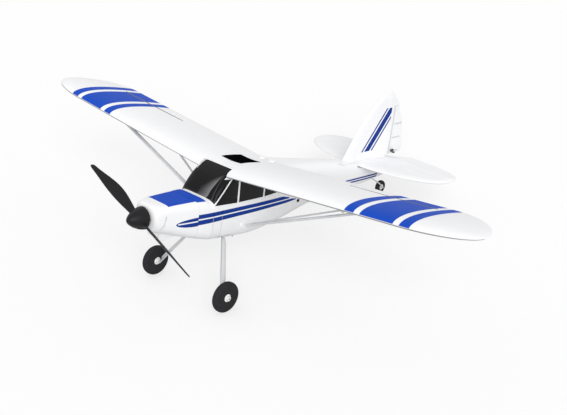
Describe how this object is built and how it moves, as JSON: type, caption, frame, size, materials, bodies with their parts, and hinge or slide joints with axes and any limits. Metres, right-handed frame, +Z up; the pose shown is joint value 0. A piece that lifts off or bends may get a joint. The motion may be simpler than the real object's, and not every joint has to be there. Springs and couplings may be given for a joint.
{
  "type": "radio controlled foam aircraft",
  "caption": "High-wing foam trainer aircraft with braced wing, tail-wheel undercarriage, geared propeller and servo-driven control surfaces.",
  "frame": {"origin": "middle of the overall box on the ground under the wheels", "axes": "+X towards the aircraft's left wing tip, +Y aft towards the tail, +Z up, standing on its wheels"},
  "size_m": [0.5, 0.3722, 0.1301],
  "materials": {
    "foam": "fine bead foam",
    "black_panel": "satin film",
    "black_plastic": "satin",
    "grey_plastic": "satin",
    "white_plastic": "satin",
    "carbon_rod": "satin",
    "steel": "drawn",
    "brass": "turned",
    "wheel": "matte foam tread",
    "plywood": "raw",
    "circuit_board": "lacquered",
    "servo_case": "smooth",
    "battery_wrap": "film"
  },
  "bodies": {
    "airframe": {"fuselage": "foam", "cowl": "foam", "windshield": "black_panel", "side_windows": "black_panel", "wing": "foam", "skylight": "black_panel", "wing_spars": "carbon_rod", "wing_peg": "white_plastic", "wing_screws": "white_plastic", "left_struts": "grey_plastic", "right_struts": "grey_plastic", "strut_fittings": "grey_plastic", "stabiliser": "foam", "fin": "foam", "gearbox_frame": "black_plastic", "motor": "steel", "shaft_bushes": "brass", "servo_tray": "plywood", "receiver_board": "circuit_board", "battery": "battery_wrap", "left_aileron_servo": "servo_case", "right_aileron_servo": "servo_case", "elevator_servo": "servo_case", "rudder_servo": "servo_case", "aileron_hinges": "white_plastic", "elevator_hinges": "white_plastic", "rudder_hinges": "white_plastic", "side_peg": "black_panel", "gear_block": "grey_plastic", "left_gear_wire": "steel", "right_gear_wire": "steel", "leg_fairings": "grey_plastic", "wheel_collars": "white_plastic", "tail_wheel_wire": "steel", "hatch_pin": "steel"},
    "battery_hatch": {"battery_hatch": "foam"},
    "left_aileron": {"left_aileron": "foam", "left_aileron_horn": "white_plastic"},
    "right_aileron": {"right_aileron": "foam", "right_aileron_horn": "white_plastic"},
    "elevator": {"elevator": "foam", "elevator_horn": "white_plastic"},
    "rudder": {"rudder": "foam", "rudder_horn": "white_plastic"},
    "propeller": {"propeller": "black_plastic", "spinner": "black_plastic", "prop_shaft": "steel", "spur_gear": "white_plastic"},
    "left_aileron_arm": {"left_aileron_arm": "white_plastic"},
    "right_aileron_arm": {"right_aileron_arm": "white_plastic"},
    "elevator_servo_arm": {"elevator_servo_arm": "white_plastic"},
    "rudder_servo_arm": {"rudder_servo_arm": "white_plastic"},
    "left_aileron_rod": {"left_aileron_rod": "steel"},
    "right_aileron_rod": {"right_aileron_rod": "steel"},
    "elevator_rod": {"elevator_rod": "steel"},
    "rudder_rod": {"rudder_rod": "steel"},
    "motor_pinion": {"motor_pinion": "brass"},
    "left_wheel": {"left_wheel": "wheel"},
    "right_wheel": {"right_wheel": "wheel"},
    "tail_wheel": {"tail_wheel": "wheel"}
  },
  "joints": [
    {"name": "propeller_spin", "type": "hinge", "parent": "airframe", "child": "propeller", "pos_m": [0, -0.16987, 0.09196], "axis": [0, -0.9851, 0.1722], "continuous": true},
    {"name": "pinion_spin", "type": "hinge", "parent": "airframe", "child": "motor_pinion", "pos_m": [0.00636, -0.09699, 0.07275], "axis": [0, -0.9851, 0.1722], "continuous": true},
    {"name": "left_wheel_spin", "type": "hinge", "parent": "airframe", "child": "left_wheel", "pos_m": [0.0459, -0.1229, 0.014], "axis": [1, 0, 0], "continuous": true},
    {"name": "right_wheel_spin", "type": "hinge", "parent": "airframe", "child": "right_wheel", "pos_m": [-0.0459, -0.1229, 0.014], "axis": [1, 0, 0], "continuous": true},
    {"name": "tail_wheel_spin", "type": "hinge", "parent": "airframe", "child": "tail_wheel", "pos_m": [0, 0.15342, 0.007], "axis": [1, 0, 0], "continuous": true},
    {"name": "hatch_hinge", "type": "hinge", "parent": "airframe", "child": "battery_hatch", "pos_m": [0, -0.08425, 0.04693], "axis": [-1, 0, 0], "range_deg": [0, 70]},
    {"name": "left_aileron_hinge", "type": "hinge", "parent": "airframe", "child": "left_aileron", "pos_m": [0.14807, -0.03107, 0.11011], "axis": [0.9954, 0.0165, 0.0944], "range_deg": [-20, 20]},
    {"name": "left_aileron_servo_turn", "type": "hinge", "parent": "airframe", "child": "left_aileron_arm", "pos_m": [0.12617, -0.06739, 0.11432], "axis": [0.9954, 0.0165, 0.0944], "range_deg": [-20, 20]},
    {"name": "left_aileron_rod_pivot", "type": "hinge", "parent": "left_aileron_arm", "child": "left_aileron_rod", "pos_m": [0.12704, -0.06893, 0.10549], "axis": [0.9954, 0.0165, 0.0944], "range_deg": [-20, 20]},
    {"name": "right_aileron_hinge", "type": "hinge", "parent": "airframe", "child": "right_aileron", "pos_m": [-0.14807, -0.03107, 0.11011], "axis": [0.9954, -0.0165, -0.0944], "range_deg": [-20, 20]},
    {"name": "right_aileron_servo_turn", "type": "hinge", "parent": "airframe", "child": "right_aileron_arm", "pos_m": [-0.12617, -0.06739, 0.11432], "axis": [0.9954, -0.0165, -0.0944], "range_deg": [-20, 20]},
    {"name": "right_aileron_rod_pivot", "type": "hinge", "parent": "right_aileron_arm", "child": "right_aileron_rod", "pos_m": [-0.12704, -0.06893, 0.10549], "axis": [0.9954, -0.0165, -0.0944], "range_deg": [-20, 20]},
    {"name": "elevator_hinge", "type": "hinge", "parent": "airframe", "child": "elevator", "pos_m": [0, 0.15911, 0.03951], "axis": [1, 0, 0], "range_deg": [-25, 25]},
    {"name": "elevator_servo_turn", "type": "hinge", "parent": "airframe", "child": "elevator_servo_arm", "pos_m": [-0.007, -0.06253, 0.07826], "axis": [1, 0, 0], "range_deg": [-25, 25]},
    {"name": "elevator_rod_pivot", "type": "hinge", "parent": "elevator_servo_arm", "child": "elevator_rod", "pos_m": [-0.007, -0.06391, 0.07038], "axis": [1, 0, 0], "range_deg": [-25, 25]},
    {"name": "rudder_hinge", "type": "hinge", "parent": "airframe", "child": "rudder", "pos_m": [0, 0.16659, 0.07068], "axis": [0, 0.1722, 0.9851], "range_deg": [-25, 25]},
    {"name": "rudder_servo_turn", "type": "hinge", "parent": "airframe", "child": "rudder_servo_arm", "pos_m": [0, -0.04055, 0.08205], "axis": [0, 0.1722, 0.9851], "range_deg": [-25, 25]},
    {"name": "rudder_rod_pivot", "type": "hinge", "parent": "rudder_servo_arm", "child": "rudder_rod", "pos_m": [0.008, -0.04055, 0.08205], "axis": [0, 0.1722, 0.9851], "range_deg": [-25, 25]}
  ],
  "couplings": [
    {"joint": "pinion_spin", "follows": "propeller_spin", "ratio": -4},
    {"joint": "left_aileron_servo_turn", "follows": "left_aileron_hinge", "ratio": 1},
    {"joint": "left_aileron_rod_pivot", "follows": "left_aileron_hinge", "ratio": -1},
    {"joint": "right_aileron_hinge", "follows": "left_aileron_hinge", "ratio": -1},
    {"joint": "right_aileron_servo_turn", "follows": "left_aileron_hinge", "ratio": -1},
    {"joint": "right_aileron_rod_pivot", "follows": "left_aileron_hinge", "ratio": 1},
    {"joint": "elevator_servo_turn", "follows": "elevator_hinge", "ratio": 1},
    {"joint": "elevator_rod_pivot", "follows": "elevator_hinge", "ratio": -1},
    {"joint": "rudder_servo_turn", "follows": "rudder_hinge", "ratio": 1},
    {"joint": "rudder_rod_pivot", "follows": "rudder_hinge", "ratio": -1}
  ]
}
